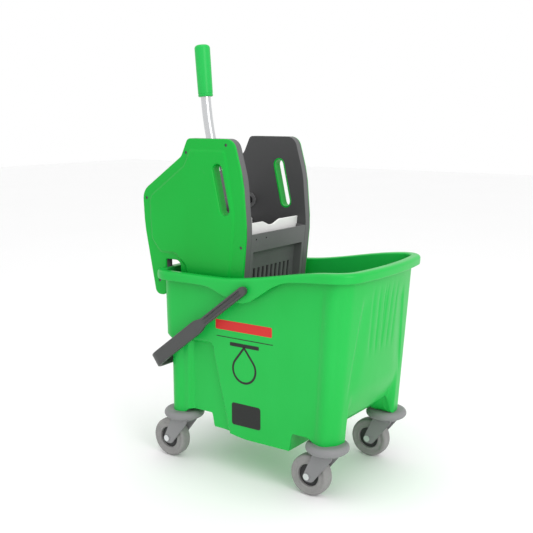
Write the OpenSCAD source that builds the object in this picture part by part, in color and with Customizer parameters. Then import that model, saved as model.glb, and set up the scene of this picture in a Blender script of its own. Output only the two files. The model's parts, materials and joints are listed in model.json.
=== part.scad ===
// Mop bucket with a gear-driven press wringer, on four swivel castors.
// Millimetres. +X is the pouring end, +Y is left, +Z is up, and the floor is z = 0.

/* [Bucket] */
// Length over the rim, from the wringer end to the pouring end
rim_length = 449; // [440:1:560]
// Width over the rim
rim_width = 290; // [284:1:360]
// Height of the rim at the wringer end
rim_low = 372; // [360:1:380]
// Height of the rim at the pouring end
rim_high = 405; // [385:1:490]
// How far the rim stands out from the wall
rim_overhang = 15; // [12:0.5:17]
// Depth of the rim's outer skirt
rim_skirt = 16; // [12:0.5:22]
// Wall thickness of the bucket
wall = 3.5; // [2.5:0.1:4.5]
// Height of the stacking ledge, on which the wringer stands
ledge_height = 247; // [235:1:255]
// Height of the underside of the sump
sump_height = 77; // [70:1:92]

/* [Castors] */
// Swivel spacing along the bucket
castor_spacing_x = 321; // [300:1:326]
// Swivel spacing across the bucket
castor_spacing_y = 220; // [190:1:224]
// Wheel diameter
wheel_diameter = 75; // [60:1:78]
// Wheel width
wheel_width = 23; // [18:0.5:27]
// Swivel stem diameter
stem_diameter = 11; // [8:0.5:14]
// Axle diameter
axle_diameter = 8; // [5:0.5:10]
// Bumper disc diameter
bumper_diameter = 77; // [60:1:92]

/* [Wringer] */
// Clear width between the two side frames
throat_width = 178; // [140:1:184]
// Thickness of each side, from the throat to the flat of the cover
side_thickness = 18.5; // [17:0.5:20]
// Cross shaft diameter
shaft_diameter = 16; // [12:0.5:20]
// Pitch radius of the gear sectors
pitch_radius = 72; // [64:1:74]
// Lever swing from rest to fully pressed, in degrees
lever_swing = 67; // [40:1:67]

/* [Handles] */
// Lever tube diameter
tube_diameter = 19; // [14:0.5:23]
// Lever grip diameter
grip_diameter = 30; // [27:0.5:36]
// Lever grip length
grip_length = 98; // [80:1:120]
// Bail pivot pin diameter
bail_pin_diameter = 10; // [7:0.5:12]
// Reach of the bail from its pivot to its outer face
bail_reach = 271; // [266:1:276]

/* [Hidden] */
$fn = 48;
end_names = ["front", "rear"];
side_names = ["left", "right"];
castor_parts = ["bumper", "stem", "fork", "axle", "hub", "tyre"];
wringer_parts = ["side_frame", "side_cover", "cover_screws", "shaft_bush", "gear_sector", "rack"];
single_parts = ["bucket_shell", "bail_handle", "bail_pins", "front_panel", "sieve_plate", "back_panel",
    "drain_floor", "press_plate", "cross_shaft", "lever_hub", "lever_bolt", "lever_tube", "lever_grip"];

green = [0.21, 0.76, 0.35];
dark_grey = [0.36, 0.36, 0.37];
castor_grey = [0.55, 0.55, 0.56];
pale = [0.86, 0.86, 0.86];
steel = [0.75, 0.76, 0.78];
dark_steel = [0.3, 0.3, 0.31];

gap = 0.3;      // between bodies that move past each other
run_fit = 0.05; // radial clearance of a shaft in its bush

// ---- Outlines ----

// An outline is a list of [x, y, radius], and rounded() gives its points
function unit(v) = v / norm(v);
function flat(v) = [v.x, v.y];
function before(v, i) = flat(v[(i + len(v) - 1) % len(v)]);
function after(v, i) = flat(v[(i + 1) % len(v)]);
function cross_at(v, i) = let (c = flat(v[i])) cross(c - before(v, i), after(v, i) - c);
function winding(v) = sign([for (i = [0:len(v) - 1]) cross(flat(v[i]), after(v, i))] * [for (p = v) 1]);
function bisector(v, i) = let (c = flat(v[i])) unit(unit(before(v, i) - c) + unit(after(v, i) - c));
function half_angle(v, i) = let (c = flat(v[i]))
    acos(unit(before(v, i) - c) * unit(after(v, i) - c)) / 2;
function corner_arc(v, i) = let (c = flat(v[i]), r = v[i].z, half = half_angle(v, i),
        centre = c + bisector(v, i) * r / sin(half), turn = 180 - 2 * half,
        start = c + unit(before(v, i) - c) * r / tan(half) - centre,
        way = sign(cross_at(v, i)), steps = ceil(turn / 12) + 1)
    r == 0 ? [c] : [for (k = [0:steps]) let (t = way * turn * k / steps)
        centre + [start.x * cos(t) - start.y * sin(t), start.x * sin(t) + start.y * cos(t)]];
function rounded(v) = [for (i = [0:len(v) - 1]) each corner_arc(v, i)];
// The outline moved inwards by t
function inset(v, t) = let (w = winding(v)) [for (i = [0:len(v) - 1])
    let (out = cross_at(v, i) * w > 0 ? 1 : -1, p = flat(v[i]) + bisector(v, i) * out * t / sin(half_angle(v, i)))
    [p.x, p.y, v[i].z == 0 ? 0 : max(v[i].z - out * t, 0.5)]];

function side_sign(s) = s == "left" ? 1 : -1;
// Extrude points drawn in X and Z, from inner to outer off the middle plane, towards side s
module side_slab(points, inner, outer, s) {
    translate([0, s > 0 ? outer : -inner, 0])
        rotate([90, 0, 0])
            linear_extrude(outer - inner) polygon(points);
}
module side_ring(outline, t, inner, outer, s) {
    translate([0, s > 0 ? outer : -inner, 0])
        rotate([90, 0, 0])
            linear_extrude(outer - inner)
                difference() {
                    polygon(rounded(outline));
                    polygon(rounded(inset(outline, t)));
                }
}
// Extrude points drawn in X and Z across the whole width
module across(points, width) {
    side_slab(points, -width / 2, width / 2, 1);
}
// A round bar along Y, from inner to outer off the middle plane, towards side s
module y_bar(x, z, r, inner, outer, s) {
    translate([x, s > 0 ? outer : -inner, z])
        rotate([90, 0, 0])
            cylinder(r = r, h = outer - inner);
}

// ---- Bucket ----

body_x = 20.5;
castor_x = 12.5;
rim_back = body_x - rim_length / 2;
rim_front = body_x + rim_length / 2;
wall_back = rim_back + rim_overhang;
wall_front = rim_front - rim_overhang;
wall_y = rim_width / 2 - rim_overhang;
bow = 12;
leg_radius = 24;
wheel_radius = wheel_diameter / 2;
bumper_bottom = wheel_diameter + 11;
bumper_height = 16;
leg_bottom = bumper_bottom + bumper_height;
belly_height = leg_bottom + 8;
leg_x = castor_spacing_x / 2;
leg_y = castor_spacing_y / 2;
lower_back = castor_x - leg_x - leg_radius;
lower_front = castor_x + leg_x + leg_radius;
lower_y = wall_y - 1;
ledge_front = lower_front + (wall_front - lower_front) * (ledge_height - leg_bottom) / (rim_high - leg_bottom);
sump_back = -66;
sump_front = 110;
pocket_depth = 8;
pocket_back = castor_x - leg_x + leg_radius + 10;
leg_lean = 3;
boss_wall = 5.5;
stem_grip = 34;
stem_top = leg_bottom + stem_grip;
bail_stop_height = 22;

// Plan of the bucket at one level: a straight back end and a bowed front end
function plan(back, front, half_width, back_radius, front_radius) = [
    [back, -half_width, back_radius],
    [front - bow, -half_width, front_radius],
    [front + 3.4, 0, 600],
    [front - bow, half_width, front_radius],
    [back, half_width, back_radius]];
function rectangle(x1, x2, half_width, r) = [
    [x1, -half_width, r], [x2, -half_width, r], [x2, half_width, r], [x1, half_width, r]];
module slab(outline, t, z) {
    translate([0, 0, z]) linear_extrude(0.4) polygon(rounded(inset(outline, t)));
}
module at_legs() {
    for (ex = [-1, 1], sy = [-1, 1])
        translate([castor_x + ex * leg_x, sy * leg_y, 0]) children();
}

// The bucket's solid form, moved inwards by t on every face
module tank(t) {
    difference() {
        union() {
            hull() {
                slab(plan(wall_back, wall_front, wall_y, 30, 32), t, rim_high + 5);
                slab(plan(wall_back + 6, ledge_front, wall_y - 1, 30, 31), t, ledge_height + t);
            }
            hull() {
                slab(plan(lower_back, ledge_front, lower_y, 26, 31), t, ledge_height + t);
                slab(plan(lower_back, lower_front, lower_y, 24, 28), t, belly_height + t);
            }
            hull() {
                slab(rectangle(sump_back, sump_front, lower_y, 8), t, belly_height + t + 5);
                slab(rectangle(sump_back + 5, sump_front - 3, lower_y - 1, 8), t, sump_height + t);
            }
            intersection() {
                for (ex = [-1, 1], sy = [-1, 1])
                    translate([castor_x + ex * leg_x, sy * leg_y, leg_bottom])
                        rotate([0, ex > 0 ? leg_lean : 0, 0])
                            translate([0, 0, -20])
                                cylinder(r = leg_radius - t, h = (ex > 0 ? rim_high : ledge_height) - leg_bottom + 24);
                translate([-rim_length, -rim_width, leg_bottom + t]) cube([2 * rim_length, 2 * rim_width, rim_high]);
            }
        }
        // a recess on each side, between the rear leg and the flat middle of the side
        for (sy = [-1, 1])
            side_slab([[pocket_back - t, sump_height - 10], [sump_back + 20 + t, sump_height - 10],
                [sump_back + 20 + t, belly_height + 30], [sump_back + 4 + t, ledge_height + t],
                [pocket_back - t, ledge_height + t]], lower_y - pocket_depth - t, lower_y + 20, sy);
        // the front wall tucks under between the front legs
        across([[lower_front - 54 - t, sump_height - 10], [lower_front - 54 - t, belly_height + t - 6],
            [lower_front - 20 - t, belly_height + t + 15], [lower_front - 6 - t, belly_height + t + 30],
            [lower_front + 12 - t, belly_height + t + 85], [lower_front + 60, belly_height + t + 85],
            [lower_front + 60, sump_height - 10]], 2 * (leg_y - leg_radius + 2 + t));
    }
}

rise_start = -50;
rise_end = 215;
function rim_top(x) = let (u = max(0, min(1, (x - rise_start) / (rise_end - rise_start))))
    rim_low + (rim_high - rim_low) * u * u * (3 - 2 * u);
rim_xs = [for (i = [0:20]) rim_back - 10 + i * (rim_length + 40) / 20];
// A strip along the rising rim, between two depths below its top
function rim_strip(upper, lower) = concat(
    [for (x = rim_xs) [x, rim_top(x) - upper]],
    [for (i = [len(rim_xs) - 1 : -1 : 0]) [rim_xs[i], rim_top(rim_xs[i]) - lower]]);
rim_plan = plan(rim_back, rim_front, rim_width / 2, 40, 46);
module rim_band(t, depth) {
    intersection() {
        translate([0, 0, rim_low - 40])
            linear_extrude(rim_high - rim_low + 60)
                difference() {
                    polygon(rounded(rim_plan));
                    polygon(rounded(inset(rim_plan, t)));
                }
        across(rim_strip(0, depth), rim_width + 20);
    }
}

bail_x = 22;
bail_z = 357;
apron_width = 88;
apron = [[bail_x - apron_width, bail_z + 6, 0], [bail_x - apron_width + 6, bail_z - 4, 20],
    [bail_x - 14, bail_z - 30, 22], [bail_x + 12, bail_z - 30, 22], [bail_x + apron_width - 20, bail_z + 14, 24],
    [bail_x + apron_width, bail_z + 24, 0]];
throat_y = throat_width / 2;
cover_y = throat_y + side_thickness;
tongue_play = 1.5;

module bucket_shell() {
    color(green) difference() {
        union() {
            difference() {
                tank(0);
                tank(wall);
                across(rim_strip(-150, 0), rim_width + 20);
            }
            rim_band(rim_overhang + 0.7 * wall, 4);
            rim_band(wall, rim_skirt);
            for (sy = [-1, 1])
                side_slab(rounded(apron), rim_width / 2 - wall, rim_width / 2, sy);
            at_legs()
                translate([0, 0, leg_bottom]) cylinder(r = stem_diameter / 2 + boss_wall, h = stem_grip + 6);
            for (sy = [-1, 1])
                translate([lower_back - 4.8, sy * leg_y / 2 - 14, bail_rest_z - bail_stop_height])
                    cube([6, 28, bail_stop_height]);
        }
        at_legs()
            translate([0, 0, leg_bottom - 1]) cylinder(r = stem_diameter / 2, h = stem_grip + 1);
        for (sy = [-1, 1]) {
            y_bar(bail_x, bail_z, bail_pin_diameter / 2, rim_width / 2 - wall - 1, rim_width / 2 + 1, sy);
            side_slab([[rim_back - 5, rim_low - 40], [wall_back - 0.2, rim_low - 40],
                [wall_back - 0.2, rim_low + 5], [rim_back - 5, rim_low + 5]],
                throat_y - tongue_play, cover_y + tongue_play, sy);
        }
    }
}

// ---- Bail ----

bail_angle = 37.4;
bail_inner_y = rim_width / 2 + 1.5;
bail_thick = 8.5;
bail_outer_y = bail_inner_y + bail_thick;
bail_width = 16;
bail_grip_width = 26;
bail_grip_start = 118;
bail_corner = 26;
bail_groove = 3.5;
bail_rest_z = bail_z - (bail_reach - bail_thick) * sin(bail_angle);
module bail_form(x1, t, width, inner) {
    translate([0, 0, -width / 2])
        linear_extrude(width)
            difference() {
                polygon(rounded([[x1, -bail_outer_y + t, 0], [-bail_reach + t, -bail_outer_y + t, bail_corner],
                    [-bail_reach + t, bail_outer_y - t, bail_corner], [x1, bail_outer_y - t, 0]]));
                polygon(rounded([[x1 + 1, -inner, 0], [inner - bail_inner_y + bail_thick - bail_reach, -inner,
                    bail_corner - 8], [inner - bail_inner_y + bail_thick - bail_reach, inner, bail_corner - 8],
                    [x1 + 1, inner, 0]]));
            }
}
module bail_handle() {
    color(dark_grey)
        translate([bail_x, 0, bail_z])
            rotate([0, -bail_angle, 0])
                difference() {
                    union() {
                        bail_form(0, 0, bail_width, bail_inner_y);
                        bail_form(-bail_grip_start, 0, bail_grip_width, bail_inner_y);
                        for (sy = [-1, 1])
                            y_bar(0, 0, bail_width / 2, bail_inner_y, bail_outer_y, sy);
                    }
                    for (sy = [-1, 1]) {
                        side_slab(rounded([[2, -4, 3.9], [2, 4, 3.9], [8 - bail_grip_start, 4, 3.9],
                            [8 - bail_grip_start, -4, 3.9]]), bail_outer_y - bail_groove, bail_outer_y + 1, sy);
                        y_bar(0, 0, bail_pin_diameter / 2 + run_fit, bail_inner_y - 1, bail_inner_y + 4, sy);
                    }
                }
}
module bail_pins() {
    color(dark_grey) for (sy = [-1, 1]) {
        y_bar(bail_x, bail_z, bail_pin_diameter / 2, rim_width / 2 - wall - 3, bail_inner_y + 3.6, sy);
        y_bar(bail_x, bail_z, bail_pin_diameter / 2 + 2.5, rim_width / 2 - wall - 6, rim_width / 2 - wall, sy);
    }
}

// ---- Castors ----

trail = 32;
fork_plate_top = bumper_bottom - gap;
fork_plate = 7;
fork_inner = wheel_width / 2 + 2;
fork_cheek = 3;
hub_radius = 20;
stem_foot = fork_plate_top - fork_plate - 3;
module castor_bumper() {
    edge = bumper_height / 2;
    color(castor_grey)
        translate([0, 0, bumper_bottom])
            difference() {
                union() {
                    cylinder(r = bumper_diameter / 2 - edge, h = bumper_height);
                    translate([0, 0, edge])
                        rotate_extrude() translate([bumper_diameter / 2 - edge, 0])
                            intersection() {
                                circle(r = edge);
                                translate([-1, -edge]) square([edge + 1, 2 * edge]);
                            }
                }
                translate([0, 0, -1]) cylinder(r = stem_diameter / 2, h = bumper_height + 2);
            }
}
module castor_stem() {
    color(steel) {
        translate([0, 0, stem_foot]) cylinder(r = stem_diameter / 2, h = stem_top - stem_foot - 1);
        translate([0, 0, stem_foot - 1.7]) cylinder(r = stem_diameter / 2 + 2.5, h = 1.7);
    }
}
module castor_fork() {
    outline = [[-18, fork_plate_top, 2], [17, fork_plate_top, 2], [17, fork_plate_top - 9, 4],
        [-trail + 11, wheel_radius - 9, 8], [-trail - 12, wheel_radius - 9, 8]];
    color(castor_grey) difference() {
        union() {
            translate([0, 0, fork_plate_top - fork_plate]) cylinder(r = 20, h = fork_plate);
            for (s = [-1, 1])
                side_slab(rounded(outline), fork_inner, fork_inner + fork_cheek, s);
            translate([-18, -fork_inner - 1, fork_plate_top - fork_plate]) cube([34, 2 * fork_inner + 2, fork_plate]);
        }
        translate([0, 0, fork_plate_top - fork_plate - 1])
            cylinder(r = stem_diameter / 2 + run_fit, h = fork_plate + 2);
        y_bar(-trail, wheel_radius, axle_diameter / 2, -fork_inner - 9, fork_inner + 9, 1);
    }
}
module castor_axle() {
    tip = fork_inner + fork_cheek;
    color(steel) {
        y_bar(-trail, wheel_radius, axle_diameter / 2, -tip, tip, 1);
        for (s = [-1, 1])
            y_bar(-trail, wheel_radius, axle_diameter / 2 + 2, tip, tip + 2, s);
    }
}
module castor_hub() {
    color(castor_grey) difference() {
        union() {
            y_bar(-trail, wheel_radius, hub_radius, 5 - wheel_width / 2, wheel_width / 2 - 5, 1);
            y_bar(-trail, wheel_radius, axle_diameter / 2 + 4, 0.5 - fork_inner, fork_inner - 0.5, 1);
        }
        y_bar(-trail, wheel_radius, axle_diameter / 2 + run_fit, -wheel_width, wheel_width, 1);
    }
}
module castor_tyre() {
    w = wheel_width / 2;
    color(castor_grey)
        translate([-trail, 0, wheel_radius])
            rotate([90, 0, 0])
                rotate_extrude()
                    polygon(rounded([[hub_radius, 5 - w, 0], [hub_radius + 5, -w, 0], [wheel_radius, -w, 6],
                        [wheel_radius, w, 6], [hub_radius + 5, w, 0], [hub_radius, w - 5, 0]]));
}

// ---- Wringer sides ----

side_bottom = ledge_height + wall + gap + 1;
rake = 5.5;
panel_top = 446;
function front_edge(z) = -1 - (panel_top - z) * tan(rake);
side_outline = [[-134, 616, 10], [-149.5, 583, 16], [-246.5, 515, 30], [-243, 450, 160], [-217, 317, 13],
    [-190.5, 317, 12], [-190.5, 388, 3], [-155, 388, 12], [-150, side_bottom, 5],
    [front_edge(side_bottom), side_bottom, 5], [-0.5, 452, 150], [-8, 545, 150], [-28, 616, 22]];
raised_outline = [[-128, 598, 6], [-45, 598, 9], [-24, 480, 100], [-46, 264, 8], [-140, 264, 8],
    [-142, 378, 12], [-166, 398, 16], [-204, 398, 14], [-226, 424, 24], [-230, 506, 22], [-143, 568, 14]];
screw_spots = [[-45, 605], [-137, 590], [-236, 502], [-13, 424], [-207, 345]];
hole_top = [-64, 561];
hole_bottom = [-48, 490];
hole_radius = 10;
liner_wall = 3;
frame_plate = 3.2;
foot_back = -116;
foot_front = -66;
frame_wall = 3;
cover_thick = 3.5;
cover_raise = 3;
plate_y = throat_y + frame_plate;
cover_inner = cover_y - cover_thick;

shaft_x = -135.5;
shaft_z = 488;
shaft_radius = shaft_diameter / 2;
bush_wall = 3;
stroke = pitch_radius * lever_swing * PI / 180;
rack_line = shaft_z - pitch_radius;
rack_depth = 14;
tab_height = 10;
tab_width = 12;
plate_back = -140;
rail_top = rack_line - rack_depth - gap;

// A round-ended slot for the hand, of radius r
module hand_slot(r, inner, outer, s) {
    lean = unit(hole_top - hole_bottom);
    flank = [lean.y, -lean.x] * (r - 0.02); // just inside the round ends, so that they cross it
    for (p = [hole_top, hole_bottom])
        y_bar(p.x, p.y, r, inner, outer, s);
    side_slab([hole_top + flank, hole_top - flank, hole_bottom - flank, hole_bottom + flank], inner, outer, s);
}
module side_frame(s) {
    color(dark_grey) difference() {
        union() {
            side_slab(rounded(side_outline), throat_y, plate_y, s);
            side_ring(side_outline, frame_wall, throat_y, cover_inner, s);
            for (p = screw_spots)
                y_bar(p.x, p.y, 4.5, throat_y + 1, cover_inner, s);
            y_bar(shaft_x, shaft_z, shaft_radius + bush_wall + 4, throat_y, plate_y + 1, s);
            // rail under the rack
            side_slab([[-232, rail_top - 4], [-30, rail_top - 4], [-30, rail_top], [-232, rail_top]],
                throat_y + 1, cover_inner - 1, s);
            // foot that stands on the bucket's ledge
            side_slab([[foot_back, side_bottom - 1], [foot_front, side_bottom - 1],
                [foot_front, side_bottom + 5], [foot_back, side_bottom + 5]], throat_y, wall_y - wall - 4, s);
        }
        hand_slot(hole_radius + liner_wall + 0.1, throat_y - 1, plate_y + 1, s);
        y_bar(shaft_x, shaft_z, shaft_radius + bush_wall, throat_y - 1, plate_y + 2, s);
        for (p = screw_spots)
            y_bar(p.x, p.y, 1.6, throat_y + 3, cover_inner + 1, s);
        // slot for the tab between the press plate and the rack
        side_slab([[plate_back - gap - 1, rack_line - rack_depth - gap],
            [plate_back + tab_width + stroke + 2, rack_line - rack_depth - gap],
            [plate_back + tab_width + stroke + 2, rack_line - rack_depth + tab_height + gap],
            [plate_back - gap - 1, rack_line - rack_depth + tab_height + gap]], throat_y - 1, plate_y + 0.5, s);
    }
}
module side_cover(s) {
    color(green) difference() {
        union() {
            side_slab(rounded(side_outline), cover_inner, cover_y, s);
            side_slab(rounded(raised_outline), cover_y - 1, cover_y + cover_raise, s);
            hand_slot(hole_radius + liner_wall, throat_y, cover_y, s);
        }
        difference() {
            side_slab(rounded(inset(raised_outline, cover_thick)), cover_inner - 1, cover_y - 0.5, s);
            hand_slot(hole_radius + liner_wall, throat_y, cover_y, s);
        }
        hand_slot(hole_radius, throat_y - 1, cover_y + cover_raise + 1, s);
        for (p = screw_spots)
            y_bar(p.x, p.y, 2.8, cover_inner - 1, cover_y + cover_raise + 1, s);
        // room under the cover where it goes down inside the bucket
        side_slab([[-160, side_bottom - 5], [0, side_bottom - 5], [0, side_bottom + 8], [-160, side_bottom + 8]],
            cover_inner - 1, cover_y + cover_raise + 1, s);
    }
}
module cover_screws(s) {
    color(dark_steel) for (p = screw_spots) {
        y_bar(p.x, p.y, 1.6, throat_y + 3.5, cover_inner + 1, s);
        y_bar(p.x, p.y, 2.8, cover_inner, cover_y - 1, s);
    }
}

// ---- Wringer panels ----

panel_y = throat_y;
recess_y = panel_y - 8;
recess_depth = 17;
panel_thick = 3.5;
slot_pitch = 14.2;
slot_width = 7;
slot_count = 10;
panel_height = (panel_top - side_bottom) / cos(rake);
// Place something drawn with its front face on x = 0 and its top at z = 0 in line with the raked front
module raked() {
    translate([front_edge(panel_top), 0, panel_top]) rotate([0, rake, 0]) children();
}
// A box from depth d1 to d2 behind the front, spanning y1 to y2 and z1 to z2
module panel_box(d1, d2, y1, y2, z1, z2) {
    translate([-d2, y1, z2]) cube([d2 - d1, y2 - y1, z1 - z2]);
}
module drain_slots(d1, d2, z1, z2) {
    for (i = [0:slot_count - 1])
        panel_box(d1, d2, (i - (slot_count - 1) / 2) * slot_pitch - slot_width / 2,
            (i - (slot_count - 1) / 2) * slot_pitch + slot_width / 2, z1, z2);
}
label_hole_radius = 2;
label_hole_pitch = 31;
label_holes_y = -58.5;
label_holes_z = panel_top - 10;
module front_panel() {
    color(dark_grey) difference() {
        raked() difference() {
            panel_box(0.2, recess_depth + panel_thick, -panel_y, panel_y, 0, -panel_height);
            panel_box(-1, recess_depth, -recess_y, recess_y, -33, -panel_height - 1);
            panel_box(panel_thick, recess_depth + panel_thick + 1, 3.5 - panel_y, panel_y - 3.5, 1, -29);
            drain_slots(recess_depth - 1, recess_depth + panel_thick + 1, -70, 12 - panel_height);
        }
        for (i = [-1, 1])
            translate([-panel_thick - 5, label_holes_y + i * label_hole_pitch / 2, label_holes_z])
                rotate([0, 90, 0]) cylinder(r = label_hole_radius, h = panel_thick + 8);
    }
}
sieve_depth = recess_depth + panel_thick;
sieve_top = 15;
notch_width = 54;
module sieve_plate() {
    color(pale) raked() difference() {
        panel_box(sieve_depth, sieve_depth + 3.5, -panel_y, panel_y, sieve_top, 5 - panel_height);
        drain_slots(sieve_depth - 1, sieve_depth + 5, -70, 12 - panel_height);
        translate([-sieve_depth - 10, 0, 0])
            rotate([90, 0, 90])
                linear_extrude(20)
                    polygon(rounded([[-notch_width / 2 - 6, sieve_top + 5, 0], [-notch_width / 2, sieve_top, 6],
                        [-6, sieve_top - 8, 14], [6, sieve_top - 8, 14], [notch_width / 2, sieve_top, 10],
                        [notch_width / 2 + 6, sieve_top + 5, 0]]));
    }
}
back_x = -162;
module back_panel() {
    color(dark_grey) {
        translate([back_x, -throat_y, side_bottom + 4]) cube([3.5, throat_width, 136]);
        translate([back_x, -throat_y, side_bottom + 136]) cube([12, throat_width, 4]);
    }
}
floor_front = front_edge(side_bottom) - sieve_depth - 3;
module drain_floor() {
    color(dark_grey) difference() {
        translate([back_x, -throat_y, side_bottom]) cube([floor_front - back_x - 4, throat_width, 4]);
        for (i = [0:slot_count - 1])
            translate([back_x + 12, (i - (slot_count - 1) / 2) * slot_pitch - slot_width / 2, side_bottom - 1])
                cube([floor_front - back_x - 28, slot_width, 6]);
    }
}

// ---- Press mechanism ----

plate_thick = 12;
plate_top = 452;
plate_ribs = 7;
module press_plate() {
    half = throat_y - 1.5;
    base = side_bottom + 4 + 2;
    color(pale) {
        translate([plate_back + plate_thick - 4, -half, base]) cube([4, 2 * half, plate_top - base]);
        for (i = [0:plate_ribs - 1])
            translate([plate_back, -half + i * (2 * half - 4) / (plate_ribs - 1), base])
                cube([plate_thick - 3, 4, plate_top - base - 30]);
        for (s = [-1, 1])
            side_slab([[plate_back, rack_line - rack_depth], [plate_back + tab_width, rack_line - rack_depth],
                [plate_back + tab_width, rack_line - rack_depth + tab_height],
                [plate_back, rack_line - rack_depth + tab_height]], half - 4, plate_y + 2, s);
    }
}

tooth_count = 36; // on a full circle
tooth_pitch = 2 * PI * pitch_radius / tooth_count;
pressure = 20;
base_radius = pitch_radius * cos(pressure);
addendum = 3.4;
dedendum = 4.4;
backlash = 0.7;
function involute(a) = (tan(a) * 180 / PI) - a;
// Half the tooth's angle at radius r
function tooth_half(r) = let (a = acos(min(1, base_radius / r)))
    (tooth_pitch / 4 - backlash / 4) / pitch_radius * 180 / PI + involute(pressure) - involute(a);
tooth_radii = [for (i = [0:4]) max(base_radius, pitch_radius - dedendum)
    + (pitch_radius + addendum - max(base_radius, pitch_radius - dedendum)) * i / 4];
function polar(r, a) = [r * cos(a), r * sin(a)];
function tooth(a) = concat(
    [polar(pitch_radius - dedendum, a - tooth_half(tooth_radii[0]))],
    [for (r = tooth_radii) polar(r, a - tooth_half(r))],
    [for (i = [4:-1:0]) polar(tooth_radii[i], a + tooth_half(tooth_radii[i]))],
    [polar(pitch_radius - dedendum, a + tooth_half(tooth_radii[0]))]);
tooth_step = 360 / tooth_count;
first_tooth = -ceil(lever_swing / tooth_step) - 1;
sector_points = concat([[0, 0]], [for (k = [first_tooth:1]) each tooth(-90 + k * tooth_step)]);
gear_inner = plate_y + 1.3;
gear_outer = cover_inner - 1.2;
module gear_sector(s) {
    color(dark_grey) difference() {
        union() {
            translate([shaft_x, 0, shaft_z]) side_slab(sector_points, gear_inner, gear_outer, s);
            y_bar(shaft_x, shaft_z, shaft_radius + 10, gear_inner, gear_outer, s);
        }
        y_bar(shaft_x, shaft_z, shaft_radius, throat_y, cover_y, s);
    }
}
rack_back = shaft_x - stroke - 9;
rack_spaces = ceil(stroke / tooth_pitch);
rack_root = rack_line - dedendum;
rack_half = tooth_pitch / 4 - backlash / 4;
slope = tan(pressure);
// Tooth spaces of the rack, cut downwards from its top, the first one under the shaft
function rack_space(k) = let (x = shaft_x - k * tooth_pitch, half = tooth_pitch / 2 - rack_half)
    [[x + half - dedendum * slope, rack_root], [x + half + addendum * slope, rack_line + addendum + 0.01],
     [x - half - addendum * slope, rack_line + addendum + 0.01], [x - half + dedendum * slope, rack_root]];
module rack(s) {
    color(pale) difference() {
        side_slab([[rack_back, rack_line - rack_depth], [plate_back + tab_width, rack_line - rack_depth],
            [plate_back + tab_width, rack_line + addendum], [rack_back, rack_line + addendum]],
            plate_y + 1.2, cover_inner - 1.2, s);
        for (k = [0:rack_spaces])
            side_slab(rack_space(k), plate_y, cover_y, s);
        side_slab([[plate_back - 0.01, rack_line - rack_depth - 1],
            [plate_back + tab_width + 1, rack_line - rack_depth - 1],
            [plate_back + tab_width + 1, rack_line - rack_depth + tab_height],
            [plate_back - 0.01, rack_line - rack_depth + tab_height]], plate_y, plate_y + 2, s);
    }
}
module shaft_bush(s) {
    color(dark_grey) difference() {
        union() {
            y_bar(shaft_x, shaft_z, shaft_radius + bush_wall, throat_y, plate_y + 1, s);
            y_bar(shaft_x, shaft_z, shaft_radius + bush_wall + 4, throat_y - 2, throat_y, s);
        }
        y_bar(shaft_x, shaft_z, shaft_radius + run_fit, throat_y - 3, plate_y + 2, s);
    }
}
module cross_shaft() {
    color(dark_steel) y_bar(shaft_x, shaft_z, shaft_radius, -gear_outer - 0.4, gear_outer + 0.4, 1);
}

// ---- Lever ----

lever_lean = 12.5;
lever_bend = 8;
bend_radius = 560;
bend_start = 130;
bend_lap = 0.4;
tube_wall = 1.5;
socket_length = 62;
tube_radius = tube_diameter / 2;
tube_end = 12; // how far the tube stops short of the top of the grip
// Put something drawn from the shaft upwards in line with the lower lever
module lever_line() {
    translate([shaft_x, 0, shaft_z]) rotate([0, -lever_lean, 0]) children();
}
// From the start of the bend, turned to the line of the upper lever
module upper_line() {
    lever_line()
        translate([bend_radius, 0, bend_start])
            rotate([0, lever_bend, 0])
                translate([-bend_radius, 0, 0]) children();
}
module lever_hub() {
    color(dark_grey) difference() {
        union() {
            y_bar(shaft_x, shaft_z, shaft_radius + 8, -24, 24, 1);
            lever_line() cylinder(r = tube_radius + 4, h = socket_length);
        }
        y_bar(shaft_x, shaft_z, shaft_radius, -30, 30, 1);
        lever_line() translate([0, 0, shaft_radius + 8]) cylinder(r = tube_radius, h = socket_length);
        lever_line() y_bar(0, socket_length - 18, 3, -40, 40, 1);
    }
}
// The tube's run at radius r, with the bend a little slimmer so that its ends slip inside the straights
module tube_run(r, extra) {
    lever_line() translate([0, 0, shaft_radius + 8 - extra])
        cylinder(r = r, h = bend_start - shaft_radius - 8 + extra);
    upper_line() cylinder(r = r, h = grip_length - tube_end + extra);
    lever_line()
        translate([bend_radius, 0, bend_start])
            rotate([-90, 0, 0])
                rotate([0, 0, 180 - bend_lap])
                    rotate_extrude(angle = lever_bend + 2 * bend_lap) translate([bend_radius, 0]) circle(r - 0.1);
}
module lever_tube() {
    color(steel) difference() {
        tube_run(tube_radius, 0);
        tube_run(tube_radius - tube_wall, 1);
        lever_line() y_bar(0, socket_length - 18, 3, -40, 40, 1);
    }
}
module lever_bolt() {
    color(steel) lever_line() {
        y_bar(0, socket_length - 18, 3, -tube_radius - 6, tube_radius + 6, 1);
        y_bar(0, socket_length - 18, 5, tube_radius + 4, tube_radius + 8, -1);
        y_bar(0, socket_length - 18, 5, tube_radius + 4, tube_radius + 7.5, 1);
    }
}
module lever_grip() {
    color(green) upper_line() difference() {
        rotate_extrude()
            polygon(rounded([[0, 0, 0], [grip_diameter / 2 - 0.5, 0, 2], [grip_diameter / 2, grip_length, 7],
                [0, grip_length, 0]]));
        translate([0, 0, -1]) cylinder(r = tube_radius, h = grip_length - tube_end + 1);
    }
}

// ---- Nodes ----

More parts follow.
